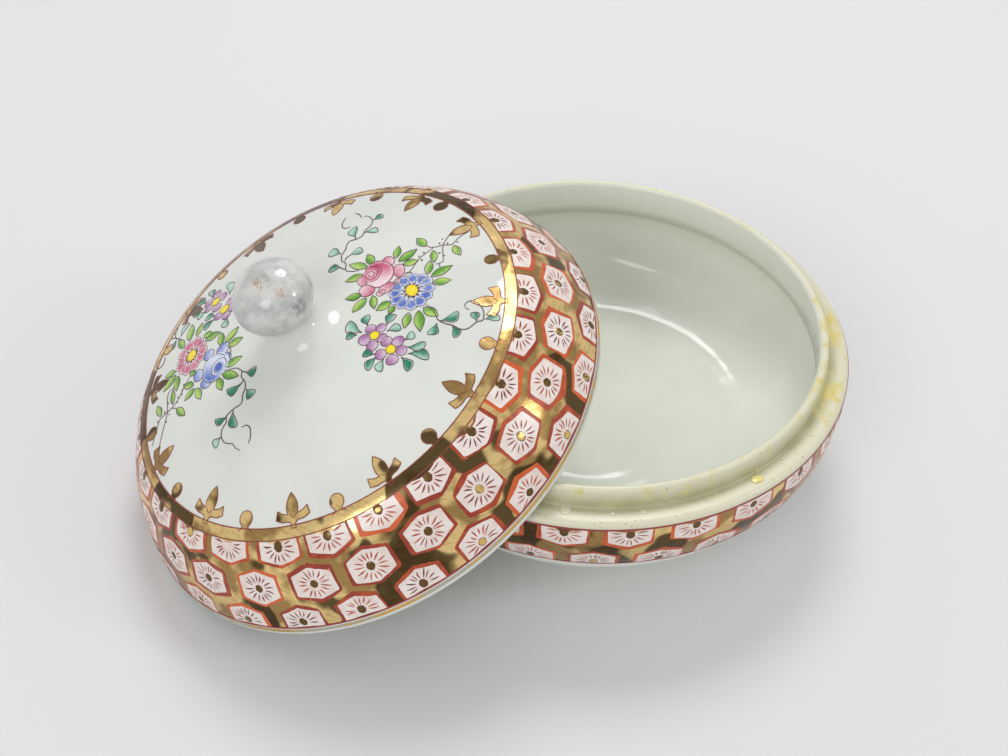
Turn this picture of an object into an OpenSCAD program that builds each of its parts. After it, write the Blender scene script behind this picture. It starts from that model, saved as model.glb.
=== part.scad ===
// Covered box for seal paste, of painted porcelain. A low round bowl stands on a foot ring and
// has a thin upright inner rim. Its domed lid, with a knob like a flattened ball, has been taken
// off and set down beside the bowl, so that it leans on the inner rim.
// Millimetres. The bowl stands on z = 0 with its axis on Z, and the lid leans towards -X.

/* [Bowl] */
// Widest diameter of the bowl
belly_d = 120.6; // [112:0.2:130]
// Height at which the bowl is widest
belly_z = 32; // [30:0.5:34]
// Radius from which the belly swells: a smaller one makes the underside fuller
belly_core_r = 24; // [18:0.5:30]
// Thickness of the bowl's wall below the inner rim
wall_t = 4.7; // [4:0.1:6]
// Height at which the inside is widest
cavity_z = 26; // [24:0.5:28]
// Diameter of the flat floor inside
floor_d = 68.5; // [56:0.5:72]
// Thickness of the floor
floor_t = 5.3; // [4.5:0.1:6.5]

/* [Ledge and inner rim] */
// Height of the ledge on which the closed lid sits
ledge_z = 36.5; // [35.5:0.1:40]
// Width of the ledge, from its outside to the inner rim
ledge_w = 5; // [4.2:0.1:6]
// Rounding of the ledge's outer edge
ledge_round = 1.7; // [0.8:0.1:2.2]
// Rounding in the corner between the ledge and the inner rim
corner_round = 0.7; // [0.3:0.1:1]
// Height of the inner rim above the ledge
rim_h = 4.9; // [4:0.1:6]
// Thickness of the inner rim, which is rounded over at the top
rim_t = 2; // [1.6:0.1:2.6]
// How far the inner rim draws in from the ledge to its top
rim_draft = 0.5; // [0:0.1:0.8]
// Depth of the inner rim's straight inside face
rim_face_h = 8.9; // [7:0.1:10]

/* [Foot] */
// Outer diameter of the foot ring
foot_d = 75; // [66:0.5:80]
// Width of the foot ring
foot_w = 3.6; // [3:0.1:5]
// Height of the hollow inside the foot ring
foot_hollow_h = 4; // [3:0.1:5]
// Height of the foot ring's outside
foot_h = 4.3; // [3.5:0.1:5]
// Rounding of the foot ring's edges
foot_round = 0.6; // [0.3:0.1:1]

/* [Lid] */
// Thickness of the lid's wall, which is rounded over at the rim
lid_t = 3; // [2.6:0.1:3.6]
// Clearance between the closed lid and the foot of the inner rim
lid_clear = 1.2; // [1:0.1:1.6]
// Angle by which the lid's side draws in at the rim
side_lean = 11.5; // [8:0.5:14]
// Length of the handle that sets how far the lid's side runs straight up
side_pull = 10.4; // [8:0.2:13]
// Length of the handle that sets how tightly the shoulder turns
shoulder_pull = 5.2; // [3:0.2:8]
// How far the lid's side draws in, from the middle of its rim to the crown's edge
side_in = 11.6; // [10:0.1:15]
// Height of the crown's edge above the rim
crown_edge_h = 22.9; // [21:0.1:25]
// Rise of the crown from its edge to the middle
crown_rise = 8.5; // [7:0.1:10]

/* [Knob] */
// Diameter of the neck under the knob
neck_d = 10.8; // [9:0.1:13]
// Diameter at which the crown starts to sweep up to the neck
flare_d = 29; // [24:0.5:36]
// Height of the sweep above the middle of the crown
flare_h = 2.4; // [1.8:0.1:3.5]
// Widest diameter of the knob
knob_d = 18.4; // [16:0.1:22]
// Height of the flattened ball
knob_h = 15.6; // [14:0.1:19]
// Height of the ball's middle above the neck's joint with the lid
knob_centre_h = 9.6; // [8.6:0.1:11]

/* [Resting place of the lid] */
// Angle by which the lid leans
lean = 27.2; // [25:0.1:30]
// Clearance left between the leaning lid and the inner rim
rest_gap = 0.3; // [0.1:0.05:0.5]

/* [Hidden] */
$fn = 128;

// Steps in each long curve, and in each small rounding
curve_steps = 18;
round_steps = 8;

belly_r = belly_d / 2;
foot_r = foot_d / 2;
foot_in_r = foot_r - foot_w;
floor_r = floor_d / 2;
floor_z = foot_hollow_h + floor_t;
cavity_r = belly_r - wall_t;

rim_base_r = belly_r - ledge_w;
rim_top_r = rim_base_r - rim_draft;
rim_in_r = rim_top_r - rim_t;
rim_top_z = ledge_z + rim_h;
// The ledge's rounding stays above the widest place of the belly
ledge_turn = min(ledge_round, ledge_z - belly_z);
// Middle of the inner rim's rounded top
crest_r = rim_top_r - rim_t / 2;
crest_z = rim_top_z - rim_t / 2;
rim_face_z = rim_top_z - rim_face_h;

// The belly is part of an ellipse that starts at the foot ring
belly_rx = belly_r - belly_core_r;
foot_angle = acos((foot_r - belly_core_r) / belly_rx);
belly_rz = (belly_z - foot_h) / sin(foot_angle);

// Middle of the lid's rounded rim, in the lid's own frame
lid_edge_r = rim_base_r + lid_clear + lid_t / 2;
lid_edge_z = lid_t / 2;
crown_r = lid_edge_r - side_in;
crown_top_h = crown_edge_h + crown_rise;
crown_ball_r = (crown_r * crown_r + crown_rise * crown_rise) / (2 * crown_rise);
crown_slope = asin(crown_r / crown_ball_r);
neck_r = neck_d / 2;
flare_r = flare_d / 2;
neck_z = crown_top_h + flare_h;
knob_r = knob_d / 2;
knob_z = neck_z + knob_centre_h;
// Angle on the ball at which the neck meets it, down from its widest ring
knob_neck_angle = acos(neck_r / knob_r);

function polar(r, a) = [r * cos(a), r * sin(a)];

// Points along an elliptical arc
function arc(middle, rx, rz, from, to, steps) =
    [for (i = [0:steps])
        let (a = from + (to - from) * i / steps)
        middle + [rx * cos(a), rz * sin(a)]];

// Points along a cubic curve with two handles
function curve(p0, p1, p2, p3, steps) =
    [for (i = [0:steps])
        let (t = i / steps, u = 1 - t)
        u * u * u * p0 + 3 * u * u * t * p1 + 3 * u * t * t * p2 + t * t * t * p3];

function crown_point(a) = [0, crown_top_h - crown_ball_r] + polar(crown_ball_r, 90 - a);

// Outside of the lid from its rim to the crown's edge
lid_side = curve(
    [lid_edge_r, lid_edge_z] + polar(lid_t / 2, side_lean),
    [lid_edge_r, lid_edge_z] + polar(lid_t / 2, side_lean) + polar(side_pull, 90 + side_lean),
    [crown_r, crown_edge_h] + polar(shoulder_pull, -crown_slope),
    [crown_r, crown_edge_h],
    curve_steps);

// A curve's points moved inwards by the lid's thickness
function inset(points) =
    [for (i = [0:len(points) - 1])
        let (ahead = points[min(i + 1, len(points) - 1)], behind = points[max(i - 1, 0)],
             along = (ahead - behind) / norm(ahead - behind))
        points[i] + lid_t * [-along[1], along[0]]];

// The lid's inside follows its outside, without the sweep up to the neck
lid_side_inside = inset(lid_side);
crown_inside_ball_r = crown_ball_r - lid_t;

// Angle on the crown at which the sweep up to the neck starts
flare_angle = asin(flare_r / crown_ball_r);

// The lid rests on the ground at one point of its rim and against the inner rim at two. The
// rim's middle line is a leaning ring, so its height and its offset follow from the lean.
lid_z = lid_edge_r * sin(lean) + lid_edge_z * (1 - cos(lean));
touch = lid_t / 2 + rim_t / 2 + rest_gap;

// Point of the leaning ring at an angle round the lid's axis, the lid being moved out by some offset
function ring_point(a, offset) =
    let (x = lid_edge_r * cos(a))
    [x * cos(lean) - lid_edge_z * sin(lean) - offset, lid_edge_r * sin(a),
     lid_z + x * sin(lean) + lid_edge_z * cos(lean)];
// Distance from a point to the middle line of the inner rim's top
function to_crest(p) = norm([norm([p[0], p[1]]) - crest_r, p[2] - crest_z]);
function nearest(offset) = min([for (a = [20:0.5:140]) to_crest(ring_point(a, offset))]);

// Offset at which the leaning ring would cross the inner rim's middle line, or comes nearest to it
cross_angle = acos((crest_z - lid_z - lid_edge_z * cos(lean)) / sin(lean) / lid_edge_r);
cross_offset = ring_point(cross_angle, 0)[0]
    + sqrt(max(0, crest_r * crest_r - pow(lid_edge_r * sin(cross_angle), 2)));
// Halving search for the offset that leaves the clearance
function clear_offset(low, high, steps) =
    steps == 0 ? high :
    let (middle = (low + high) / 2)
    nearest(middle) < touch ? clear_offset(middle, high, steps - 1)
                            : clear_offset(low, middle, steps - 1);
lid_offset = clear_offset(cross_offset, cross_offset + lid_edge_r, 16);

module at_rest_on_bowl() {
    translate([-lid_offset, 0, lid_z]) rotate([0, -lean, 0]) children();
}

module bowl() {
    color([0.86, 0.87, 0.81])
        rotate_extrude()
            polygon(concat(
                [[0, foot_hollow_h]],
                [[foot_in_r, foot_hollow_h]],
                arc([foot_in_r + foot_round, foot_round], foot_round, foot_round, 180, 270, 4),
                arc([foot_r - foot_round, foot_round], foot_round, foot_round, 270, 360, 4),
                arc([belly_core_r, belly_z], belly_rx, belly_rz, -foot_angle, 0, curve_steps),
                arc([belly_r - ledge_turn, ledge_z - ledge_turn], ledge_turn, ledge_turn, 0, 90,
                    round_steps),
                arc([rim_base_r + corner_round, ledge_z + corner_round], corner_round, corner_round,
                    270, 180, 4),
                arc([crest_r, crest_z], rim_t / 2, rim_t / 2, 0, 180, round_steps),
                curve([rim_in_r, rim_face_z], [rim_in_r + wall_t / 3, rim_face_z - wall_t / 3],
                    [cavity_r, cavity_z + wall_t / 2], [cavity_r, cavity_z], round_steps),
                arc([floor_r, cavity_z], cavity_r - floor_r, cavity_z - floor_z, 0, -90, curve_steps),
                [[0, floor_z]]));
}

module lid() {
    color([0.90, 0.91, 0.89])
        at_rest_on_bowl()
            rotate_extrude()
                polygon(concat(
                    arc([lid_edge_r, lid_edge_z], lid_t / 2, lid_t / 2, 180 + side_lean,
                        360 + side_lean, 2 * round_steps),
                    lid_side,
                    [for (i = [1:curve_steps])
                        crown_point(crown_slope + (flare_angle - crown_slope) * i / curve_steps)],
                    curve(crown_point(flare_angle),
                        crown_point(flare_angle) + polar((flare_r - neck_r) * 0.6, 180 - flare_angle),
                        [neck_r, neck_z - flare_h * 0.7], [neck_r, neck_z], round_steps),
                    [[0, neck_z]],
                    arc([0, crown_top_h - crown_ball_r], crown_inside_ball_r, crown_inside_ball_r,
                        90, 90 - crown_slope, curve_steps),
                    [for (i = [len(lid_side_inside) - 2:-1:1]) lid_side_inside[i]]));
}

module knob() {
    color([0.74, 0.75, 0.77])
        at_rest_on_bowl()
            rotate_extrude()
                polygon(concat(
                    [[0, neck_z], [neck_r, neck_z]],
                    arc([0, knob_z], knob_r, knob_h / 2, -knob_neck_angle, 90, 2 * curve_steps)));
}

bowl();
lid();
knob();
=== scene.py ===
"""Looks of a covered box for seal paste, in painted and gilt porcelain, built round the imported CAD."""

import math
import random

import bpy
import numpy as np
from mathutils import Matrix, Vector
from mathutils.geometry import delaunay_2d_cdt


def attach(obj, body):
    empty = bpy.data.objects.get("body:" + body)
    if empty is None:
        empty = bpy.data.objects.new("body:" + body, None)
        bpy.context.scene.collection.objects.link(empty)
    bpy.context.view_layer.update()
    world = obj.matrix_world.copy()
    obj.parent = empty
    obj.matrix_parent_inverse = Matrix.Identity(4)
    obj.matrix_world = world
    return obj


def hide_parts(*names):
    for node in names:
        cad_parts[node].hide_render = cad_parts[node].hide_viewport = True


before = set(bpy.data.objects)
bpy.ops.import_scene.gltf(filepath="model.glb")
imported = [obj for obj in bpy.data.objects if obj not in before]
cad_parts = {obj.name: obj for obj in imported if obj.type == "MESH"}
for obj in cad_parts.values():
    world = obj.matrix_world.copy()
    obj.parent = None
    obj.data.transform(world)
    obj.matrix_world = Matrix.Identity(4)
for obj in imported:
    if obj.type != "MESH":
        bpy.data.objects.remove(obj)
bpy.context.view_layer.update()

# The bowl is a low round body of white porcelain, thrown on the wheel and turned: a foot ring, a
# full belly, a ledge for the lid and a thin upright inner rim. Its outside lies a painted coat's
# depth inside the CAD skin, so that the painting comes out at the true size.
MM = 0.001
TURNS = 256
coat_depth = 0.14
belly_r, belly_z, belly_core_r = 60.3, 32.0, 24.0
wall_t, cavity_z, floor_r, floor_z = 4.7, 26.0, 34.25, 9.3
ledge_z, ledge_w, ledge_round, corner_round = 36.5, 5.0, 1.7, 0.7
rim_h, rim_t, rim_draft, rim_face_h = 4.9, 2.0, 0.5, 8.9
foot_r, foot_w, foot_hollow_h, foot_h, foot_round, foot_draft = 37.5, 3.6, 4.0, 4.3, 0.6, 1.2


def arc(middle, rx, rz, start, end, steps):
    """Points along an elliptical arc, as (radius, height) pairs."""
    angles = np.radians(np.linspace(start, end, steps + 1))
    return np.array(middle) + np.c_[rx * np.cos(angles), rz * np.sin(angles)]


def sweep(p0, p1, p2, p3, steps):
    """Points along a cubic curve with two handles."""
    t = np.linspace(0, 1, steps + 1)[:, None]
    u = 1 - t
    ends = u**3 * np.array(p0) + t**3 * np.array(p3)
    return ends + 3 * u * u * t * np.array(p1) + 3 * u * t * t * np.array(p2)


def inset(points, depth):
    """A run of an outline moved to its left, into the clay, by some depth."""
    along = np.gradient(points, axis=0)
    along /= np.linalg.norm(along, axis=1)[:, None]
    return points + depth * np.c_[-along[:, 1], along[:, 0]]


def set_out(name, data):
    """An object of a mesh, lamp or camera, set in the scene."""
    thing = bpy.data.objects.new(name, data)
    bpy.context.scene.collection.objects.link(thing)
    return thing


def new_piece(name, points, faces, finish, body):
    """A mesh piece in the shared frame, from points in millimetres, that rides on a body."""
    mesh = bpy.data.meshes.new(name)
    mesh.from_pydata((np.asarray(points) * MM).tolist(), [], faces)
    mesh.validate()
    mesh.shade_smooth()
    mesh.set_sharp_from_angle(angle=math.radians(50))
    mesh.materials.append(finish.material)
    piece = set_out(name, mesh)
    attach(piece, body)
    return piece


def face_between(low, high, k):
    """The face between two rings of points, at one step of the turn."""
    after = (k + 1) % TURNS
    return low + k, low + after, high + after, high + k


def stand_on_foot(points):
    return points


def throw(name, outline, finish, body, place=stand_on_foot):
    """A clay body thrown on the wheel: an outline that starts and ends on the axis, turned once."""
    rings = outline[1:-1]
    turn = 2 * math.pi * np.arange(TURNS) / TURNS
    x, y = rings[:, :1] * np.cos(turn), rings[:, :1] * np.sin(turn)
    z = np.repeat(rings[:, 1:], TURNS, axis=1)
    points = np.stack([x, y, z], axis=-1).reshape(-1, 3)
    poles = [[0, 0, outline[0][1]], [0, 0, outline[-1][1]]]
    last = (len(rings) - 1) * TURNS
    low_pole, high_pole = len(points), len(points) + 1
    faces = []
    for k in range(TURNS):
        after = (k + 1) % TURNS
        faces += [(low_pole, after, k), (high_pole, last + k, last + after)]
        faces += [face_between(ring, ring + TURNS, k) for ring in range(0, last, TURNS)]
    return new_piece(name, place(np.vstack([points, poles])), faces, finish, body)


rim_base_r = belly_r - ledge_w
rim_in_r = rim_base_r - rim_draft - rim_t
crest = (rim_in_r + rim_t / 2, ledge_z + rim_h - rim_t / 2)
rim_face_z = ledge_z + rim_h - rim_face_h
foot_angle = math.degrees(math.acos((foot_r - belly_core_r) / (belly_r - belly_core_r)))
belly_rz = (belly_z - foot_h) / math.sin(math.radians(foot_angle))

belly = np.vstack([
    arc([belly_core_r, belly_z], belly_r - belly_core_r, belly_rz, -foot_angle, 0, 60),
    arc([belly_r - ledge_round, ledge_z - ledge_round], ledge_round, ledge_round, 0, 90, 12),
])
belly = inset(belly, coat_depth)
bowl_outline = np.vstack([
    [[0, foot_hollow_h]],
    [[foot_r - foot_w - foot_draft, foot_hollow_h]],
    arc([foot_r - foot_w + foot_round, foot_round], foot_round, foot_round, 180, 270, 6),
    arc([foot_r - foot_round, foot_round], foot_round, foot_round, 270, 360, 6),
    belly,
    arc([rim_base_r + corner_round, ledge_z + corner_round], corner_round, corner_round, 270, 180, 8),
    arc(crest, rim_t / 2, rim_t / 2, 0, 180, 16),
    sweep([rim_in_r, rim_face_z], [rim_in_r + wall_t / 3, rim_face_z - wall_t / 3],
          [belly_r - wall_t, cavity_z + wall_t / 2], [belly_r - wall_t, cavity_z], 14),
    arc([floor_r, cavity_z], belly_r - wall_t - floor_r, cavity_z - floor_z, 0, -90, 48)[1:],
    [[floor_r * k / 14, floor_z] for k in range(13, 0, -1)],
    [[0, floor_z]],
])


def srgb(red, green, blue):
    """A colour given as it looks on a screen, 0 to 255, in the linear values that nodes take."""
    return tuple((c / 12.92 if c <= 0.04045 else ((c + 0.055) / 1.055) ** 2.4)
                 for c in (red / 255, green / 255, blue / 255))


class Nodes:
    """The nodes of a material or of the room, with short calls to make and join them."""

    def __init__(self, owner):
        owner.use_nodes = True
        self.tree = owner.node_tree

    def put(self, node, entry, value):
        """Joins an output to a node's input, or sets the input's own value, a colour as on a screen."""
        target = node.inputs[entry]
        if isinstance(value, bpy.types.NodeSocket):
            self.tree.links.new(value, target)
        elif target.type == "RGBA":
            target.default_value = (*srgb(*value), 1)
        else:
            target.default_value = value

    def node(self, kind, entries=(), **settings):
        """A new node, with its settings, and with what goes to its inputs, by number or name."""
        node = self.tree.nodes.new("ShaderNode" + kind)
        for name, setting in settings.items():
            setattr(node, name, setting)
        for entry, value in dict(entries).items():
            self.put(node, entry, value)
        return node

    def sum(self, kind, *values):
        """A math node: ADD, SUBTRACT, MAXIMUM, SQRT, SINE and so on."""
        return self.node("Math", enumerate(values), operation=kind).outputs[0]

    def times(self, value, factor, plus=0.0):
        return self.sum("MULTIPLY_ADD", value, factor, plus)


class Finish(Nodes):
    """A material under construction, for one finish of the object."""

    def __init__(self, name, roughness=0.3, metallic=0.0):
        self.material = bpy.data.materials.new(name)
        super().__init__(self.material)
        self.shader = self.tree.nodes["Principled BSDF"]
        self.put(self.shader, "Roughness", roughness)
        self.put(self.shader, "Metallic", metallic)
        self.place = self.node("TexCoord").outputs["Object"]

    def noise(self, size_mm, detail, rough=0.5, place=None):
        """Cloudy noise whose blotches have a size in millimetres."""
        return self.node("TexNoise", {"Scale": 1 / (size_mm * MM), "Detail": detail, "Roughness": rough,
                                      "Vector": place or self.place}).outputs["Fac"]

    def dots(self, size_mm):
        """Distance to the nearest of many scattered points, for specks and pits."""
        cells = self.node("TexVoronoi", {"Scale": 1 / (size_mm * MM), "Vector": self.place})
        return cells.outputs["Distance"]

    def step(self, value, low, high):
        """Goes smoothly from 0 to 1 as the value goes from low to high."""
        return self.node("MapRange", {"Value": value, "From Min": low, "From Max": high},
                         interpolation_type="SMOOTHSTEP").outputs["Result"]

    def rise(self, length, low_mm, high_mm):
        """The same for a length, between two others in millimetres."""
        return self.step(length, low_mm * MM, high_mm * MM)

    def mix(self, share, first, second):
        """A colour between two colours."""
        return self.node("Mix", {0: share, 6: first, 7: second}, data_type="RGBA").outputs[2]

    def near(self, x, y, z, reach):
        """1 at a place, in millimetres, falling to 0 at some distance from it."""
        apart = self.node("VectorMath", {0: self.place, 1: (x * MM, y * MM, z * MM)}, operation="DISTANCE")
        return self.rise(apart.outputs["Value"], reach, 0.0)

    def wash(self):
        """How thickly the brush left the colour, from the mesh."""
        return self.node("Attribute", attribute_name="wash").outputs["Fac"]

    def colour(self, value):
        self.put(self.shader, "Base Color", value)

    def rough(self, value):
        self.put(self.shader, "Roughness", value)

    def bump(self, height, depth_mm, strength=0.6):
        """Unevenness of the surface, with its depth in millimetres."""
        uneven = self.node("Bump", {"Strength": strength, "Distance": depth_mm * MM, "Height": height})
        self.put(self.shader, "Normal", uneven.outputs["Normal"])


class Glaze(Finish):
    """Clear glossy glaze over white clay: faint clouds, a few specks, and a slightly wavy skin."""

    def clouded(self, body_colour, cloud_colour):
        clouds = self.step(self.noise(22, 4), 0.35, 0.7)
        speck = self.step(self.dots(9), 0.03, 0.04)
        rare = self.step(self.noise(16, 1), 0.6, 0.62)
        clear = self.sum("MAXIMUM", speck, self.sum("SUBTRACT", 1.0, rare))
        return self.mix(clear, (150, 142, 122), self.mix(clouds, body_colour, cloud_colour))

    def gloss(self, bare=0.0):
        """Very smooth where it is glazed, and less so where the clay is bare."""
        self.rough(self.times(bare, 0.22, self.times(self.noise(9, 2), 0.10, 0.04)))

    def ripple(self, extra=0.0):
        """The glaze ran a little before it set, and its skin is faintly orange-peeled."""
        waves = self.times(self.noise(16, 2), 1.0, extra)
        self.bump(self.times(self.noise(1.8, 2), 0.04, waves), 0.35, 0.7)


glaze = Glaze("bowl_glaze")
x, y, height = glaze.node("SeparateXYZ", {0: glaze.place}).outputs
across = glaze.sum("SQRT", glaze.times(x, x, glaze.times(y, y)))
# The ledge and the inner rim's top and outside were wiped of glaze. They have gone cream, with
# painted shade and some grime in the corner between them, rusty yellow stains, most at the right,
# and fine brown pits
on_rim = glaze.rise(height, rim_face_z + 1.0, rim_face_z + 2.5)
bare = glaze.times(on_rim, glaze.rise(across, rim_in_r + 0.05, rim_in_r + 0.6))
glaze.gloss(bare)
from_corner = glaze.sum("SUBTRACT", across, rim_base_r * MM)
above_ledge = glaze.times(height, 0.6, -0.6 * ledge_z * MM)
corner_gap = glaze.sum("SQRT", glaze.times(from_corner, from_corner, glaze.times(above_ledge, above_ledge)))
# Painted shade, with some grime, darkens the corner between the ledge and the rim
corner_shade_and_grime = glaze.times(glaze.rise(corner_gap, 2.9, 0.3), glaze.times(glaze.noise(6, 4), 1.1, 0.3))
on_ledge = glaze.rise(height, ledge_z - 0.9, ledge_z - 0.2)
at_right = glaze.sum("MAXIMUM", glaze.near(45, -34, 37, 14), glaze.near(56, -12, 38, 12))
stained = glaze.times(at_right, 0.18, glaze.noise(3.5, 5, 0.66))
rust = glaze.times(glaze.step(stained, 0.53, 0.78), on_ledge)
pitted = glaze.step(glaze.noise(7, 3), 0.46, 0.6)
pits = glaze.times(glaze.step(glaze.dots(1.1), 0.17, 0.1), pitted)
biscuit = glaze.mix(corner_shade_and_grime, (219, 216, 191), (174, 170, 128))
biscuit = glaze.mix(rust, biscuit, (216, 202, 124))
biscuit = glaze.mix(pits, biscuit, (142, 118, 76))
# A soft dark line is painted inside under the rim: painted shade under its overhang
under_rim = glaze.times(glaze.rise(height, 29.5, 32), glaze.rise(height, 35, 32.6))
# Painted shade in a band under the rim's overhang
pooling_and_rim_shade = glaze.times(under_rim, glaze.rise(across, 56.5, 55.5))
glazed = glaze.clouded((237, 239, 227), (230, 233, 220))
glazed = glaze.mix(glaze.times(pooling_and_rim_shade, 0.45), glazed, (164, 166, 146))
# The foot ring stood on the kiln shelf, so its edge is bare too, and has gone grey brown with use
underfoot = glaze.rise(glaze.times(glaze.noise(4, 2), 0.6 * MM, height), 1.0, 0.8)
worn = glaze.step(glaze.noise(3, 5, 0.65), 0.42, 0.72)
foot_clay = glaze.mix(worn, (210, 203, 186), (176, 164, 142))
glaze.colour(glaze.mix(underfoot, glaze.mix(bare, glazed, biscuit), foot_clay))
# Rings left on the floor by the potter's fingers
finger_w = 4.6
rings = glaze.sum("SINE", glaze.times(across, 2 * math.pi / (finger_w * MM)))
on_floor = glaze.times(glaze.rise(across, 14, 18), glaze.rise(across, 48, 42))
glaze.ripple(glaze.times(glaze.times(rings, on_floor), 0.09))

bowl_body = throw("bowl_body", bowl_outline, glaze, "bowl")
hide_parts("bowl")

# The bowl's painted band runs round the belly under the ledge: a gilt ground between two lines of
# iron red. All painting is laid as thin raised coats on the glaze, as fired enamel stands on it.
band_low_z, band_top_z = 21.3, 34.8
line_w = 0.42
gilt_lift, red_lift, panel_lift, stroke_lift, stud_lift = 0.03, 0.06, 0.08, 0.095, 0.12
coat_foot = -0.03


class Skin:
    """A round skin that is painted on. A place on it is an angle and a run in mm up its outline."""

    def __init__(self, body, outline, place, start=0.0):
        self.body, self.outline, self.place = body, outline, place
        legs = np.linalg.norm(np.diff(outline, axis=0), axis=1)
        self.run = start + np.r_[0, np.cumsum(legs)]
        slope = np.gradient(outline, axis=0)
        slope /= np.linalg.norm(slope, axis=1)[:, None]
        self.out = np.c_[slope[:, 1], -slope[:, 0]]

    def at(self, angle, run, lift):
        """Points on the skin, at angles in degrees, runs and lifts."""
        turn = np.radians(angle)
        radius, height = (np.interp(run, self.run, self.outline[:, k]) for k in (0, 1))
        out_r, out_z = (np.interp(run, self.run, self.out[:, k]) for k in (0, 1))
        radius = radius + lift * out_r
        points = np.stack([radius * np.cos(turn), radius * np.sin(turn), height + lift * out_z], -1)
        return self.place(points)

    def around(self, angle, run):
        """A way to lay flat shapes on the skin, round a middle at some angle and run."""
        radius = float(np.interp(run, self.run, self.outline[:, 0]))

        def lay(flat, lift):
            return self.at(angle + np.degrees(flat[:, 0] / radius), run + flat[:, 1], lift)

        return lay

    def from_above(self, flat, lift):
        """Lays flat shapes straight down on the skin, as seen along its axis."""
        radius = np.hypot(flat[:, 0], flat[:, 1])
        run = np.interp(radius, self.outline[::-1, 0], self.run[::-1])
        return self.at(np.degrees(np.arctan2(flat[:, 1], flat[:, 0])), run, lift)

    def run_at_height(self, height):
        return float(np.interp(height, self.outline[:, 1], self.run))


bowl_skin = Skin("bowl", belly, stand_on_foot)
bowl_limits = bowl_skin.run_at_height(band_low_z), bowl_skin.run_at_height(band_top_z)

# Gilding laid by brush. Its bright and olive patches are partly thick and thin gold and partly
# painted reflection, its dark brown patches are painted dark reflection, and brown scratches
# show where it is worn
gilt = Finish("gilding", metallic=1.0)
streaks = gilt.node("Mapping", {"Vector": gilt.place, "Scale": (0.3, 0.3, 1.5)})
brushed = gilt.noise(0.9, 3, 0.6, streaks.outputs["Vector"])
# Bright against olive: partly thin gilding and partly painted reflection
thin_gilt_and_reflection = gilt.step(gilt.noise(12, 3, 0.55), 0.45, 0.56)
# Dark brown patches: painted reflection of a dark room
dark_reflection = gilt.step(gilt.noise(14, 2, 0.5), 0.5, 0.54)
scratch = gilt.step(gilt.noise(1.5, 6, 0.75), 0.6, 0.7)
gold = gilt.mix(thin_gilt_and_reflection, (240, 208, 142), (170, 138, 86))
gold = gilt.mix(gilt.times(dark_reflection, 0.9), gold, (58, 44, 26))
gold = gilt.mix(gilt.times(gilt.step(brushed, 0.45, 0.7), 0.35), gold, (120, 92, 54))
gilt.colour(gilt.mix(gilt.times(scratch, 0.45), gold, (84, 62, 36)))
gilt.rough(gilt.times(brushed, 0.16, 0.12))
gilt.bump(gilt.times(gilt.noise(9, 2), 1.0, gilt.times(brushed, 0.07)), 0.5, 0.7)

iron_red = Finish("iron_red_enamel")
pooling_and_rim_shade = iron_red.times(iron_red.wash(), 0.55, iron_red.noise(3.0, 4))
red = iron_red.mix(iron_red.step(pooling_and_rim_shade, 0.45, 1.05), (212, 94, 38), (146, 46, 24))
iron_red.colour(iron_red.mix(iron_red.step(iron_red.noise(0.9, 3), 0.62, 0.76), red, (218, 132, 84)))
iron_red.bump(iron_red.noise(0.7, 2), 0.04)


def mottled(name, blotch_mm, detail, first, second, edges=None, roughness=0.3):
    """A finish in blotches of two close colours, which can have firmer edges."""
    finish = Finish(name, roughness)
    share = finish.noise(blotch_mm, detail)
    if edges:
        share = finish.step(share, *edges)
    finish.colour(finish.mix(share, first, second))
    return finish


line_red = mottled("band_line_enamel", 6, 4, (122, 34, 34), (168, 66, 62))


def ring_coat(name, skin, low, high, lift, finish):
    """A band of colour or gilding carried right round a skin, between two runs."""
    steps = max(2, int((high - low) / 0.8))
    runs = np.r_[low, np.linspace(low, high, steps + 1), high]
    lifts = np.r_[coat_foot, np.full(steps + 1, lift), coat_foot]
    angle = 360 * np.arange(TURNS) / TURNS
    points = np.vstack([skin.at(angle, np.full(TURNS, run), up) for run, up in zip(runs, lifts)])
    faces = [face_between(ring * TURNS, (ring + 1) % len(runs) * TURNS, k)
             for ring in range(len(runs)) for k in range(TURNS)]
    new_piece(name, points, faces, finish, skin.body)


def ring_line(name, skin, run, width, finish):
    ring_coat(name, skin, run - width / 2, run + width / 2, stud_lift, finish)


def inside_of(outline, points):
    """How far flat points lie inside an outline, in mm, and below nothing where they are outside."""
    start, end = outline, np.roll(outline, -1, axis=0)
    leg = end - start
    from_start = points[:, None] - start
    share = np.clip((from_start * leg).sum(-1) / np.maximum((leg * leg).sum(-1), 1e-12), 0, 1)
    gap = np.linalg.norm(from_start - share[..., None] * leg, axis=-1).min(1)
    spans = (start[:, 1] > points[:, 1:]) != (end[:, 1] > points[:, 1:])
    rise = np.where(leg[:, 1] == 0, 1e-12, leg[:, 1])
    crossing = start[:, 0] + (points[:, 1:] - start[:, 1]) * leg[:, 0] / rise
    inside = (spans & (points[:, :1] < crossing)).sum(1) % 2 == 1
    return np.where(inside, gap, -gap)


def fill(outline, grain):
    """Fills a flat outline with small triangles."""
    low, high = outline.min(0), outline.max(0)
    rows = np.arange(low[1] + grain * 0.45, high[1], grain * 0.87)
    columns = np.arange(low[0] + grain * 0.45, high[0], grain)
    grid = [(x + (k % 2) * grain / 2, y) for k, y in enumerate(rows) for x in columns]
    if grid:
        grid = np.array(grid)
        grid = grid[inside_of(outline, grid) > grain * 0.45]
    points = [Vector(point) for point in outline.tolist() + [list(point) for point in grid]]
    points, _, faces, *_ = delaunay_2d_cdt(points, [], [list(range(len(outline)))], 1, 1e-6)
    return np.array([tuple(point) for point in points]), [list(face) for face in faces]


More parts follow.
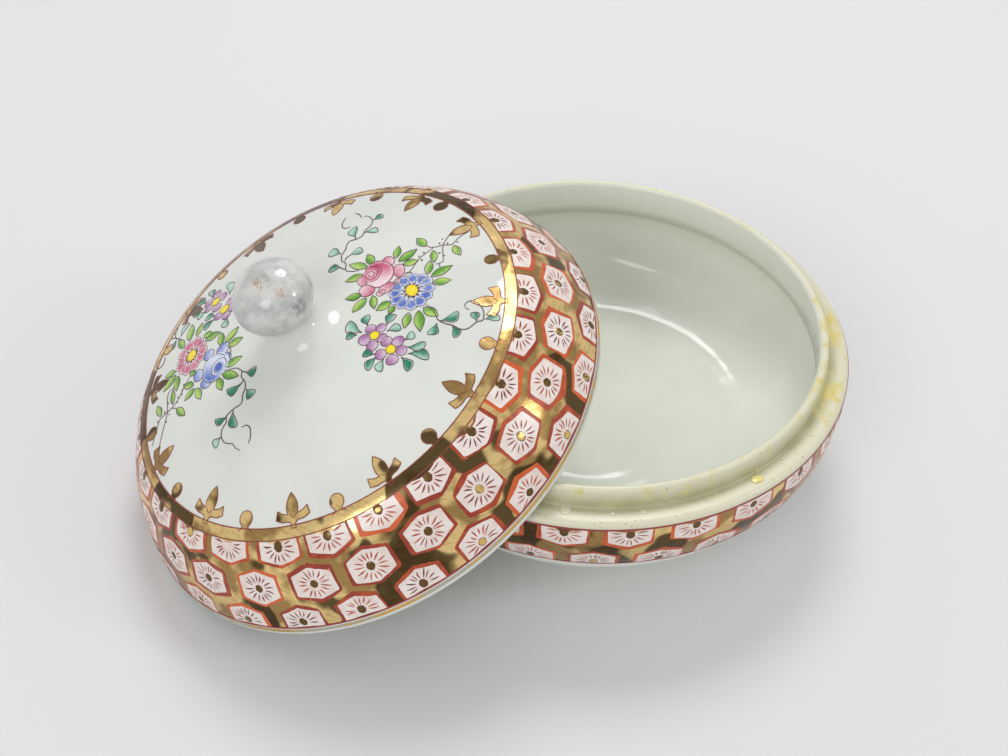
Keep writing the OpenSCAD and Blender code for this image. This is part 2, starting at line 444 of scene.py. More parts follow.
class Paint:
    """Coats of one enamel on one skin: filled patches, brush lines and drops, gathered into a piece.
    Flat shapes are laid straight down on the skin, unless another way to lay them is given."""

    def __init__(self, name, skin, finish):
        self.name, self.skin, self.finish, self.lay = name, skin, finish, skin.from_above
        self.points, self.faces, self.wash = [], [], []

    def keep(self, points, faces, wash):
        start = len(self.wash)
        self.points.append(points)
        self.faces += [[start + k for k in face] for face in faces]
        self.wash += list(wash)

    def patch(self, outline, lift, grain, wash=lambda flat, depth: np.ones(len(flat))):
        """A filled coat of an even thickness, closed all round."""
        flat, faces = fill(outline, grain)
        count = len(flat)
        legs = {(face[k - 1], face[k]) for face in faces for k in range(len(face))}
        edge = [(a, b) for a, b in sorted(legs) if (b, a) not in legs]
        sides = [[a, a + count, b + count, b] for a, b in edge]
        under = [[k + count for k in reversed(face)] for face in faces]
        tone = wash(flat, np.maximum(inside_of(outline, flat), 0))
        points = np.vstack([self.lay(flat, lift), self.lay(flat, coat_foot)])
        self.keep(points, faces + sides + under, np.r_[tone, tone])

    def line(self, path, width, lift, closed=False, taper=0.0, wash=1.0):
        """A brush line along a path, which can thin out towards its ends."""
        ahead, behind = np.roll(path, -1, axis=0), np.roll(path, 1, axis=0)
        if not closed:
            ahead[-1], behind[0] = path[-1], path[0]
        along = ahead - behind
        along /= np.maximum(np.linalg.norm(along, axis=1), 1e-9)[:, None]
        left = np.c_[-along[:, 1], along[:, 0]]
        t = 2 * np.abs(np.linspace(0, 1, len(path)) - 0.5)
        half = left * (width / 2 * (1 - taper * t**3))[:, None]
        rows = [self.lay(path + half, coat_foot), self.lay(path + half * 0.7, lift),
                self.lay(path - half * 0.7, lift), self.lay(path - half, coat_foot)]
        points = np.stack(rows, 1).reshape(-1, 3)
        last = len(path) if closed else len(path) - 1
        faces = []
        for k in range(last):
            a, b = 4 * k, 4 * ((k + 1) % len(path))
            faces += [[a + j, a + (j + 1) % 4, b + (j + 1) % 4, b + j] for j in range(4)]
        if not closed:
            end = 4 * last
            faces += [[1, 0, 3, 2], [end + 2, end + 3, end, end + 1]]
        self.keep(points, faces, np.full(len(points), wash))

    def drop(self, middle, radius, lift, wash=1.0, stretch=1.0, sides=14):
        """A round dab that stands a little higher in its middle."""
        angle = 2 * math.pi * np.arange(sides) / sides
        ring = np.c_[np.cos(angle), np.sin(angle) * stretch] * radius
        middle = np.array([middle], float)
        points = np.vstack([self.lay(middle + ring, coat_foot), self.lay(middle + ring * 0.9, lift * 0.8),
                            self.lay(middle + ring * 0.5, lift), self.lay(middle, lift)])
        faces = [list(range(sides - 1, -1, -1))]
        for k in range(sides):
            m = (k + 1) % sides
            faces += [[k, m, m + sides, k + sides], [k + sides, m + sides, m + 2 * sides, k + 2 * sides],
                      [3 * sides, k + 2 * sides, m + 2 * sides]]
        self.keep(points, faces, np.full(len(points), wash))

    def piece(self):
        made = new_piece(self.name, np.vstack(self.points), self.faces, self.finish, self.skin.body)
        wash = made.data.attributes.new("wash", "FLOAT", "POINT")
        wash.data.foreach_set("value", np.array(self.wash, np.float32))


ring_coat("bowl_gilt_band", bowl_skin, *bowl_limits, gilt_lift, gilt)
ring_line("bowl_line_under_ledge", bowl_skin, bowl_limits[1], line_w, line_red)
ring_line("bowl_line_below", bowl_skin, bowl_limits[0], line_w, line_red)

# A few drops of clear glaze ran on to the wiped ledge in the kiln and set there as small beads. The
# largest has turned yellow.
yellowed = Paint("ledge_yellow_drop", bowl_skin, mottled(
    "yellowed_glaze_drop", 1.2, 2, (236, 226, 142), (216, 202, 108), (0.4, 0.6), 0.12))
clear_drops = Paint("ledge_clear_drops", bowl_skin, mottled(
    "clear_glaze_drop", 0.8, 2, (222, 220, 198), (206, 204, 180), roughness=0.1))


def on_ledge_top(flat, lift):
    return np.c_[flat, np.full(len(flat), ledge_z + lift)]


yellowed.lay = clear_drops.lay = on_ledge_top
yellowed.drop((19.3, -53.9), 1.45, 0.3, stretch=0.72, sides=24)
for x, y, size in ((-23.8, -51.3, 1.25), (-14.4, -55.1, 0.5), (-7.9, -56.2, 0.6), (6.7, -56.8, 0.35),
                   (9.0, -55.6, 0.3), (27.4, -49.6, 0.35), (36.2, -44.4, 0.4)):
    clear_drops.drop((x, y), size, 0.2, sides=16)
yellowed.piece()
clear_drops.piece()

# Hexagons are set into the gilt band in two rows, brick fashion, each bordered in iron red by hand
# and filled with pale pink enamel. Short rays of iron red and plum run out from a gilt stud in the
# middle. The red lines along the band cut the rows off.
border_w, border_h, ray_count = 0.8, 0.9, 16
panel_pink = mottled("panel_enamel", 2.5, 3, (238, 228, 221), (228, 211, 202), (0.35, 0.7), 0.22)
panel_pink.bump(panel_pink.noise(1.1, 2), 0.03, 0.5)

ray_red = Finish("ray_enamel")
streaked = ray_red.sum("ADD", ray_red.wash(), ray_red.times(ray_red.noise(0.5, 2), 0.5, -0.25))
ray_red.colour(ray_red.mix(streaked, (188, 78, 44), (96, 36, 50)))

stud_gilt = Finish("stud_gilding", roughness=0.22, metallic=1.0)
bright = stud_gilt.step(stud_gilt.times(stud_gilt.noise(0.8, 3), 0.5, stud_gilt.wash()), 0.95, 1.1)
stud_gilt.colour(stud_gilt.mix(bright, (112, 88, 52), (232, 194, 118)))
stud_gilt.bump(stud_gilt.noise(0.6, 2), 0.1)

stud_ring = mottled("stud_ring_enamel", 0.6, 2, (72, 40, 32), (112, 56, 40))


def to_left(way):
    return np.array([-way[1], way[0]])


def cut_to(outline, low, high):
    """Cuts a flat outline along two level lines and keeps what lies between them."""
    for limit, sign in ((low, 1), (high, -1)):
        kept = []
        for (ax, ay), (bx, by) in zip(outline, np.roll(outline, -1, axis=0)):
            a_in, b_in = sign * (ay - limit) >= 0, sign * (by - limit) >= 0
            if a_in:
                kept.append((ax, ay))
            if a_in != b_in:
                kept.append((ax + (bx - ax) * (limit - ay) / (by - ay), limit))
        outline = np.array(kept)
    return outline


def hexagon(width, height, hand, wobble):
    """A hand-drawn hexagon with a corner at its top, none of whose sides is quite straight."""
    half_side, half_width, half_height = height * 0.306, width / 2, height / 2
    corners = [(half_width, -half_side), (half_width, half_side), (0, half_height),
               (-half_width, half_side), (-half_width, -half_side), (0, -half_height)]
    corners = [(x + hand.gauss(0, wobble), y + hand.gauss(0, wobble)) for x, y in corners]
    outline = []
    for (ax, ay), (bx, by) in zip(corners, corners[1:] + corners[:1]):
        bow = hand.gauss(0, wobble * 0.6)
        length = math.hypot(bx - ax, by - ay)
        for share in (0.04, 0.2, 0.4, 0.6, 0.8, 0.96):
            out = bow * math.sin(math.pi * share) + hand.gauss(0, 0.025)
            outline.append((ax + (bx - ax) * share + (by - ay) / length * out,
                            ay + (by - ay) * share - (bx - ax) / length * out))
    return np.array(outline)


def paint_hexagon(paints, angle, middle, size, limits, hand):
    """One hexagon with its rays and stud, cut off where it meets a red line."""
    borders, panels, rays, rings, studs = paints
    for paint in paints:
        paint.lay = paint.skin.around(angle, middle)
    low, high = limits[0] - middle, limits[1] - middle
    outer = hexagon(size[0] * hand.uniform(0.97, 1.03), size[1] * hand.uniform(0.98, 1.02), hand, 0.19)
    inner = hexagon(size[0] - 2 * border_w, size[1] - 2 * border_h, hand, 0.15)
    borders.patch(cut_to(outer, low, high), red_lift, 1.1,
                  lambda flat, depth: np.full(len(flat), hand.random()))
    panels.patch(cut_to(inner, low, high), panel_lift, 1.1)
    tone = hand.choice([0.05, 0.25, 0.6, 0.85])
    reach = (size[0] / 2 - 1.75, size[1] / 2 - 1.7)
    turn = hand.uniform(0, 0.4)
    for ray in range(ray_count):
        around = 2 * math.pi * ray / ray_count + turn + hand.gauss(0, 0.04)
        way = np.array([math.cos(around), math.sin(around)])
        start, end = 1.6 + hand.gauss(0, 0.12), hand.gauss(0, 0.16)
        end = end + 1 / math.hypot(way[0] / reach[0], way[1] / reach[1])
        bend = to_left(way) * hand.gauss(0, 0.07)
        path = np.array([way * start, way * (start + end) / 2 + bend, way * end])
        if low + 0.25 < path[:, 1].min() and path[:, 1].max() < high - 0.25:
            rays.line(path, hand.uniform(0.4, 0.6), stroke_lift, taper=0.6,
                      wash=min(1, max(0, tone + hand.gauss(0, 0.12))))
    stud_r = hand.uniform(0.84, 1.02)
    if low + stud_r + 0.2 < 0 < high - stud_r - 0.2:
        nudge = (hand.gauss(0, 0.1), hand.gauss(0, 0.1))
        rings.drop(nudge, stud_r + 0.22, stroke_lift, stretch=hand.uniform(0.95, 1.2))
        studs.drop(nudge, stud_r, stud_lift + 0.01, wash=hand.random(), stretch=hand.uniform(0.95, 1.2))


def paint_rows(skin, rows, count, width, limits, hand):
    """Rows of hexagons round a skin, each row with its first angle, its run and its height."""
    paints = [Paint(f"{skin.body}_{part}", skin, finish) for part, finish in (
        ("hexagon_borders", iron_red), ("hexagon_panels", panel_pink), ("hexagon_rays", ray_red),
        ("stud_rings", stud_ring), ("studs", stud_gilt))]
    for first, run, height in rows:
        for k in range(count):
            paint_hexagon(paints, first + 360 / count * k + hand.gauss(0, 0.3), run + hand.gauss(0, 0.12),
                          (width, height), limits, hand)
    for paint in paints:
        paint.piece()


bowl_rows = ((-114.6, bowl_skin.run_at_height(32.0) + 1.2, 10.0),
             (-121.7, bowl_skin.run_at_height(22.8), 9.8))
paint_rows(bowl_skin, bowl_rows, 26, 11.4, bowl_limits, random.Random(7))

# The lid is a thrown and turned dome of the same porcelain: a rounded rim, a steep side, a low
# crown that sweeps up to the knob's neck, and a hollow inside. It leans on the bowl's inner rim.
lid_t, lid_edge_r, lid_edge_z = 3.0, 58.0, 1.5
side_lean, side_pull, shoulder_pull = 11.5, 10.4, 5.2
crown_r, crown_edge_h, crown_top_h, crown_ball_r = 46.4, 22.9, 31.4, 130.9
neck_r, neck_z, flare_r = 5.4, 33.8, 14.5
lean, lid_offset, lid_rise = math.radians(27.2), 55.2645, 26.6776
crown_slope = math.degrees(math.asin(crown_r / crown_ball_r))
flare_angle = math.degrees(math.asin(flare_r / crown_ball_r))


def polar(radius, angle):
    angle = math.radians(angle)
    return np.array([radius * math.cos(angle), radius * math.sin(angle)])


def lean_on_bowl(points):
    """Takes points from the lid's own frame to where the lid rests, against the bowl's inner rim."""
    x, y, z = points[..., 0], points[..., 1], points[..., 2]
    cos, sin = math.cos(lean), math.sin(lean)
    return np.stack([x * cos - z * sin - lid_offset, y, x * sin + z * cos + lid_rise], -1)


lip = np.array([lid_edge_r, lid_edge_z]) + polar(lid_t / 2, side_lean)
crown_edge = np.array([crown_r, crown_edge_h])
lid_side = sweep(lip, lip + polar(side_pull, 90 + side_lean),
                 crown_edge + polar(shoulder_pull, -crown_slope), crown_edge, 48)
crown = arc([0, crown_top_h - crown_ball_r], crown_ball_r, crown_ball_r,
            90 - crown_slope, 90 - flare_angle, 30)
# The sweep up to the knob starts on the lid and ends at the ball, a little wider than the neck
knob_r, knob_h, knob_z = 9.19, 15.58, 43.4
sweep_r = neck_r + 0.5
neck_angle = math.degrees(math.acos(sweep_r / knob_r))
neck_top = np.array([sweep_r, knob_z - knob_h / 2 * math.sin(math.radians(neck_angle))])
neck_sweep = sweep(crown[-1], crown[-1] + polar(6.2, 180 - flare_angle),
                   neck_top - [0.4, 3.4], neck_top, 40)
on_lid = int(np.searchsorted(neck_sweep[:, 1], neck_z))
flare = neck_sweep[:on_lid]
lid_top = np.vstack([lid_side, crown[1:], flare[1:]])
thin_away = np.r_[np.full(len(lid_side) + len(crown) - 1, coat_depth),
                  coat_depth * np.linspace(1, 0, len(flare) - 1)]
lid_top = inset(lid_top, thin_away[:, None])
lip_radius = np.linspace(lid_t / 2, lid_t / 2 - coat_depth, 33)[:, None]
lip_arc = arc([0, 0], 1, 1, 180 + side_lean, 360 + side_lean, 32) * lip_radius + [lid_edge_r, lid_edge_z]
lid_outline = np.vstack([
    [[0, crown_top_h - lid_t]],
    arc([0, crown_top_h - crown_ball_r], crown_ball_r - lid_t, crown_ball_r - lid_t,
        90, 90 - crown_slope, 40)[1:],
    inset(lid_side, lid_t)[-2:0:-1],
    lip_arc[:-1],
    lid_top,
    [[0, flare[-1][1]]],
])

white, cloud_white = (222, 224, 217), (214, 217, 210)
glaze = Glaze("lid_glaze")
glaze.colour(glaze.clouded(white, cloud_white))
glaze.gloss()
glaze.ripple()
lid_body = throw("lid_body", lid_outline, glaze, "lid", lean_on_bowl)
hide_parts("lid")

# The lid's painted band matches the bowl's, with three rows of hexagons on a gilt ground. A red line
# closes it near the lip, a broad gilt border at the crown's edge, and a gilt line worn thin by
# handling runs round the lip itself.
lid_skin = Skin("lid", lid_top, lean_on_bowl, 0.3)
lid_line_run, border_low, border_high = 1.8, 23.6, 26.2
ring_coat("lid_gilt_band", lid_skin, lid_line_run, border_low, gilt_lift, gilt)
ring_line("lid_line_near_lip", lid_skin, lid_line_run, line_w, line_red)
lid_hand = random.Random(11)
lid_rows = ((199.4, 22.2, 9.8), (205.9, 13.0, 9.8), (212.9, 3.6, 9.8))
paint_rows(lid_skin, lid_rows, 25, 11.0, (lid_line_run, border_low), lid_hand)

worn_gilt = Finish("worn_gilding", roughness=0.25)
left_on = worn_gilt.step(worn_gilt.noise(9, 5, 0.65), 0.44, 0.56)
worn_gilt.put(worn_gilt.shader, "Metallic", left_on)
worn_gilt.colour(worn_gilt.mix(left_on, (172, 170, 152), (214, 178, 104)))
ring_coat("lip_gilt_line", lid_skin, 0.35, 1.2, gilt_lift, worn_gilt)

# The crown's edge is closed by a broad gilt border with twelve three-lobed sprigs standing on it
# and a round bud between each two. All of it is edged with a fine line of red brown.
border_r, bud_r, edge_w = 46.2, 1.6, 0.26
edge_brown = mottled("edge_line_enamel", 1.2, 3, (150, 66, 46), (112, 46, 40))
ring_coat("crown_border", lid_skin, border_low, border_high, red_lift, gilt)
ring_line("crown_border_outer_line", lid_skin, border_low, edge_w, edge_brown)
ring_line("crown_border_inner_line", lid_skin, border_high, edge_w, edge_brown)


def brush_path(points):
    """A smooth hand-drawn path through a few points, in steps of about 0.35 mm."""
    points = np.asarray(points, float)
    points = np.vstack([2 * points[0] - points[1], points, 2 * points[-1] - points[-2]])
    path = []
    for a, b, c, d in zip(points, points[1:], points[2:], points[3:]):
        steps = max(2, int(np.linalg.norm(c - b) / 0.35))
        for t in np.arange(steps) / steps:
            path.append(0.5 * (2 * b + (c - a) * t + (2 * a - 5 * b + 4 * c - d) * t * t
                               + (3 * b - 3 * c + d - a) * t**3))
    return np.array(path + [points[-2]])


arm_under = brush_path([(0.7, -0.3), (0.55, 0.4), (0.8, 1.0), (1.6, 1.3), (2.6, 1.35), (3.5, 1.7),
                        (4.3, 2.1)])
arm_over = brush_path([(3.75, 4.0), (2.9, 3.3), (2.0, 2.9), (1.15, 2.75)])
petal = brush_path([(1.15, 2.75), (1.4, 3.6), (1.4, 4.6), (1.1, 5.6), (0.55, 6.6), (0, 7.4)])
sprig = np.vstack([arm_under, arm_over[:-1], petal])
sprig = np.vstack([sprig, (sprig * [-1, 1])[-2::-1]])
sprig_fold = brush_path([(-0.85, 2.7), (-0.4, 2.1), (0, 1.9), (0.4, 2.1), (0.85, 2.7)])
bud = [(1.7, -0.2), (0.9, 0.25), (0.75, 0.75)] + [
    (bud_r * math.sin(math.radians(a)), 2.2 - bud_r * math.cos(math.radians(a))) for a in range(35, 326, 29)
] + [(-0.75, 0.75), (-0.9, 0.25), (-1.7, -0.2)]
sprigs_and_buds = Paint("crown_sprigs_and_buds", lid_skin, gilt)
edge_lines = Paint("sprig_edge_lines", lid_skin, edge_brown)


def tilted(u, v, tilt):
    """Flat points turned by an angle."""
    cos, sin = polar(1, tilt)
    return np.c_[u * cos - v * sin, u * sin + v * cos]


def on_border(shape, angle, size, tilt):
    """Stands a flat shape on the border's inner edge, so that it points to the middle of the crown."""
    outward = polar(1, angle)
    shape = tilted(*(np.asarray(shape) * size).T, tilt)
    return outward * border_r + shape[:, :1] * to_left(outward) - shape[:, 1:] * outward


for angle in (13, 39, 68.5, 98.5, 128.5, 158.5, 188, 218.5, 248.5, 277.5, 309, 339.6):
    shape = on_border(sprig, angle, lid_hand.uniform(0.94, 1.03), lid_hand.uniform(-7, 7))
    sprigs_and_buds.patch(shape, panel_lift, 0.8)
    edge_lines.line(shape, edge_w, stud_lift, closed=True)
    edge_lines.line(on_border(sprig_fold, angle, 1, 0), 0.2, stud_lift)
for angle in (29, 55, 83, 113, 143, 175.5, 202.5, 233, 262, 293, 325, 356):
    shape = on_border(bud, angle, lid_hand.uniform(0.9, 1.06), lid_hand.uniform(-3, 3))
    sprigs_and_buds.patch(shape, panel_lift, 0.8)
    edge_lines.line(shape, 0.24, stud_lift)
sprigs_and_buds.piece()
edge_lines.piece()

# Two sprays of flowers are painted by hand on the white crown, a rose and a daisy in each with a
# pair of small lilac flowers, leaves and tendrils. The drawing is a thin plum-brown line, and each
# shape is filled in with one loaded stroke of enamel that seldom quite meets its line.
def spray_paint(name, enamel_name, pale, deep, roughness=0.24):
    """Paint whose enamel runs from a pale wash to a deep one as the brush left it."""
    enamel = Finish(enamel_name, roughness)
    streaks = enamel.times(enamel.noise(0.7, 3), 0.5, -0.25)
    enamel.colour(enamel.mix(enamel.step(enamel.sum("ADD", enamel.wash(), streaks), 0.0, 1.0), pale, deep))
    enamel.bump(enamel.noise(0.9, 2), 0.05)
    return Paint(name, lid_skin, enamel)


pink = spray_paint("spray_pink_petals", "rose_enamel", (238, 214, 220), (204, 84, 120))
blue = spray_paint("spray_blue_petals", "blue_enamel", (216, 223, 238), (70, 102, 190))
lilac = spray_paint("spray_lilac_petals", "lilac_enamel", (226, 202, 220), (162, 104, 156))
yellow = spray_paint("spray_yellow_hearts", "yellow_enamel", (246, 226, 40), (226, 176, 30))
green = spray_paint("spray_green_leaves", "green_enamel", (186, 216, 112), (84, 152, 40))
teal = spray_paint("spray_teal_leaves", "teal_enamel", (176, 214, 194), (24, 124, 94))
plum = spray_paint("spray_plum_lines", "plum_line_enamel", (122, 96, 100), (72, 52, 60), 0.35)
rose = spray_paint("spray_rose_lines", "rose_line_enamel", (168, 60, 96), (132, 38, 74), 0.35)
spray_hand = random.Random(23)


def stroke_shape(base, tip, width, full, blunt, point=0.0, sag=0.0, bow=0.0):
    """The outline of a leaf or petal from base to tip: full is where it is widest, point how sharp its
    tip is, bow how far its middle bends aside, and sag moves its fullness over to one side."""
    along = tip - base
    side = to_left(along) / np.linalg.norm(along)
    t = 0.5 - 0.5 * np.cos(np.linspace(0, math.pi, 13))
    half = width / 2 * np.sin(math.pi * t ** (math.log(0.5) / math.log(full))) ** (blunt + point * t)
    bent = bow * np.linalg.norm(along) * np.sin(math.pi * t)
    left = base + along * t[:, None] + side * (bent + half * (1 + sag))[:, None]
    right = base + along * t[:, None] + side * (bent - half * (1 - sag))[:, None]
    return np.vstack([left[:-1], right[:0:-1]])


def oval(middle, rx, ry, tilt=0.0):
    angle = 2 * math.pi * np.arange(22) / 22
    wave = 1 + 0.03 * np.sin(3 * angle + middle[0])
    return np.array(middle) + tilted(rx * np.cos(angle) * wave, ry * np.sin(angle) * wave, tilt)


def paint_leaves(paint, leaves, full, blunt, point, arched=False):
    """Leaves drawn in plum line and filled with one stroke, a little off their lines. The arched ones
    let their tips fall towards the near edge of the crown, unless their sag is given."""
    for x1, y1, x2, y2, width, *hang in leaves:
        base, along = np.array([x1, y1]), np.array([x2 - x1, y2 - y1])
        sag = bow = 0.0
        if arched:
            sag = 0.6 * hang[0] if hang else math.copysign(0.25, along[0])
            bow = math.copysign(0.12, sag)
        else:
            along, width = along * 1.18, width * 0.95
        shape = stroke_shape(base, base + along, width * 1.04, full, blunt, point, sag, bow)
        plum.line(shape, 0.23, panel_lift, closed=True, wash=spray_hand.uniform(0.4, 1))
        size = spray_hand.uniform(0.85, 0.95)
        middle = shape.mean(0)
        shift = np.array([spray_hand.gauss(0, 0.09), spray_hand.gauss(0, 0.09)])
        filled = (shape - middle) * size + middle + shift
        start, end = spray_hand.uniform(0.4, 0.9), spray_hand.uniform(0.1, 0.7)
        way = along / math.hypot(*along) ** 2
        aside = to_left(along) / math.hypot(*along) / width * spray_hand.choice([-0.9, 0.9])

        def tone(flat, depth):
            share = np.clip((flat - base) @ way, 0, 1)
            return np.clip(start + (end - start) * share + (flat - base) @ aside, 0, 1)

        paint.patch(filled, red_lift, 0.5, tone)


def paint_daisy(paint, middle, reach, turn, deep):
    """A daisy: twelve petals that are white at their edges and base, round a yellow heart."""
    for k in range(12):
        way = polar(1, turn + 30 * k + spray_hand.gauss(0, 2))
        rim = 1 / math.hypot(way[0] / reach[0], way[1] / reach[1]) * spray_hand.uniform(0.93, 1.04)
        width = 2 * math.pi * rim / 12
        shape = stroke_shape(middle + way * rim * 0.24, middle + way * rim, width, 0.68, 0.75)
        strength = spray_hand.uniform(*deep)

        def tone(flat, depth):
            out = (np.linalg.norm(flat - middle, axis=1) / rim - 0.28) / 0.72
            return np.clip(depth / 0.62, 0, 1) ** 1.3 * np.clip(out * 4, 0, 1) * strength

        paint.patch(shape, red_lift, 0.42, tone)
        plum.line(shape, 0.17, panel_lift, closed=True, wash=0.4)


def paint_heart(middle, rx, ry, dots=0):
    """The yellow heart of a flower, ringed with dots or with a line."""
    yellow.patch(oval(middle, rx, ry), panel_lift + 0.01, 0.5,
                 lambda flat, depth: np.clip(0.7 - depth / rx * 1.4, 0, 1))
    for k in range(dots):
        angle = 2 * math.pi * k / dots + spray_hand.gauss(0, 0.08)
        spot = np.array(middle) + [math.cos(angle) * rx * 1.12, math.sin(angle) * ry * 1.12]
        plum.drop(spot, 0.3, stud_lift + 0.01, wash=0.9, sides=8)
    if not dots:
        plum.line(oval(middle, rx, ry), 0.17, stroke_lift, closed=True, wash=0.6)


def paint_round_petals(paint, petals, pale, deep):
    """Round petals, deep at one side and washed out towards the other."""
    for x, y, rx, ry, tilt, way in petals:
        shape, middle, way = oval((x, y), rx, ry, tilt), np.array([x, y]), polar(1, way)
        plum.line(shape, 0.18, panel_lift, closed=True, wash=0.45)

        def tone(flat, depth):
            share = ((flat - middle) @ way) / max(rx, ry) * 0.5 + 0.5
            return np.clip(pale + (deep - pale) * share, 0, 1)

        paint.patch((shape - middle) * 0.93 + middle, red_lift, 0.45, tone)


def cup_tone(middle, way, reach, heart, edge, edge_w):
    """How deep a rose's cup is painted: more towards one side, and less along its edge."""
    def tone(flat, depth):
        share = ((flat - middle) @ np.array(way)) / reach
        return np.clip(heart + share * 0.75, 0, 1) * np.clip(edge + depth / edge_w, 0, 1)

    return tone


def spiral(middle, inner, outer, turns, start, flatten):
    angle = np.radians(start) + np.linspace(0, 2 * math.pi * turns, int(18 * turns))
    radius = np.linspace(inner, outer, len(angle))
    return np.array(middle) + np.c_[radius * np.cos(angle), radius * np.sin(angle) * flatten]


def draw(paint, strokes, width, wash):
    for stroke in strokes:
        paint.line(brush_path(stroke), width, stroke_lift + 0.01, taper=0.5, wash=wash)


def dab(spots):
    for spot in spots:
        plum.drop(spot, 0.24 * spray_hand.uniform(0.8, 1.2), panel_lift, wash=0.5, stretch=1.25, sides=9)


# The right-hand spray: a pink rose over a blue daisy, with the lilac pair towards the knob, one
# tendril up the crown, one down it, and thin stems that tie the spray to a sprig of the border.
paint_round_petals(pink, [
    (23.5, 7.7, 1.35, 1.75, 15, 150), (25.0, 3.3, 1.3, 2.2, -6, 200), (16.8, 1.3, 1.7, 2.0, 35, -50),
    (21.2, -0.5, 2.0, 1.5, 10, 30), (19.6, -1.2, 1.1, 0.9, 0, 60), (16.5, 5.0, 1.0, 1.9, 10, 0),
    (23.9, 0.2, 0.7, 0.9, 0, 90),
], 0.15, 0.9)
cup = oval((20.6, 4.9), 3.3, 4.3)
pink.patch(cup, panel_lift, 0.45, cup_tone((20.5, 4.9), (0.45, 0.89), 4.3, 0.5, 0.35, 1.4))
pink.patch(oval((18.9, 5.7), 1.8, 2.1), panel_lift + 0.01, 0.45,
           lambda flat, depth: np.clip(0.75 - depth / 3.2, 0, 1))
draw(rose, [
    cup[np.r_[13:22, 0:8]],
    spiral((18.85, 5.65), 0.2, 1.7, 2.1, 40, 1.05),
    [(17.3, 4.1), (18.5, 3.3), (20.1, 3.7), (21.3, 5.4), (21.4, 7.2), (20.5, 8.9)],
    [(17.6, 7.2), (18.9, 8.2), (20.3, 7.6), (20.9, 6.0), (20.3, 4.6)],
    [(18.0, 8.0), (19.3, 9.1), (21.0, 9.3), (22.3, 8.6)],
    [(19.2, 8.6), (20.4, 8.0), (21.0, 6.9)],
], 0.3, 0.8)
paint_daisy(blue, (25.9, -4.4), (5.2, 5.6), 12, (0.6, 1.0))
paint_heart((26.0, -4.3), 1.35, 1.8, 13)
paint_round_petals(lilac, [
    (14.7, -10.0, 1.25, 1.15, 0, 240), (16.9, -11.0, 1.15, 1.15, 0, 120),
    (16.3, -13.7, 1.2, 1.15, 0, 100), (13.7, -14.6, 1.35, 1.3, 0, 160), (12.6, -12.1, 1.4, 1.5, 0, 80),
    (16.9, -15.2, 1.35, 1.25, 0, 220), (19.2, -16.4, 1.4, 1.3, 0, 30), (19.1, -19.0, 1.25, 1.3, 0, 120),
    (16.5, -20.3, 1.4, 1.3, 0, 200), (14.7, -17.7, 1.3, 1.35, 0, 170),
], 0.2, 0.95)
paint_heart((15.0, -12.2), 1.1, 1.15)
paint_heart((17.1, -17.6), 1.1, 1.2)
paint_leaves(green, [
    (18.7, 8.7, 15.5, 11.9, 2.2), (20, 9, 19.7, 12.5, 2.1), (17.2, 6.9, 13.6, 7.2, 2.3),
    (15.4, 0.8, 12.3, 1.5, 2.2), (16.2, -0.8, 12.8, -2.8, 2.3), (17.7, -1, 17.1, -4.4, 1.8),
    (25.2, 7.7, 26.6, 10.9, 1.8), (25.6, 6.2, 29.6, 7.8, 2.4), (26.3, 4.9, 29.1, 4.1, 2.2),
    (30.5, -1.3, 31.8, 2.1, 1.9), (31, -2.4, 35.3, -1.4, 2.3), (30.7, -4.4, 34, -5.3, 2.2),
    (21, -5, 17.8, -5.6, 2.3), (21.2, -6.6, 19.8, -8, 1.6), (23.6, -10.2, 21.8, -13.3, 2.0),
    (25.7, -10.7, 24.5, -15.5, 2.3), (26.9, -10.4, 28.7, -13.6, 2.3), (32.3, 7.9, 31.3, 11.3, 2.1),
    (33.5, 5.6, 32.8, 2.2, 1.6), (37.9, 5, 38.4, 1.7, 1.8),
], 0.46, 0.85, 0.2)
paint_leaves(teal, [
    (12.7, -9.9, 11.0, -5.4, 2.6, 0.5), (14.4, -8.7, 15.3, -5.9, 2.0), (11.5, -9.9, 9, -9.5, 1.9, -0.5),
    (18.2, -11, 20.8, -9.2, 2.2), (17.8, -12.6, 20.8, -13.6, 2.0), (13.5, -17.0, 11, -15.8, 1.9),
    (13.7, -17.9, 10.8, -20, 2.0), (14.9, -19.2, 13.2, -21.8, 1.9), (20.5, -16.8, 22.8, -15.6, 1.8, -0.5),
    (20.5, -18.8, 24.4, -19.7, 2.2, -0.4), (18.5, -20.6, 18.7, -24.6, 2.1), (20, -20.5, 23.6, -23.8, 2.3),
    (18.2, 21.6, 18.8, 26.1, 2.2), (20.4, 22.0, 23.4, 20.2, 1.8), (23.2, 25.7, 25.6, 25.7, 2.1),
    (13.9, 17.9, 12.2, 21.2, 2.6, 0.4), (15.9, 15.8, 18.8, 15, 2.4), (13.0, 12.8, 10, 13.8, 2.3, -0.3),
    (28.2, -15.9, 25.6, -17.8, 2.0, 0.5), (29, -15.6, 33.2, -14.9, 2.2, -0.7),
    (30.9, -18.0, 30.5, -21.2, 1.7, 0.4), (35.9, -19.0, 35.7, -16.4, 1.7), (37.6, -19.2, 40.5, -20.3, 2.0),
], 0.64, 1.2, -0.7, arched=True)
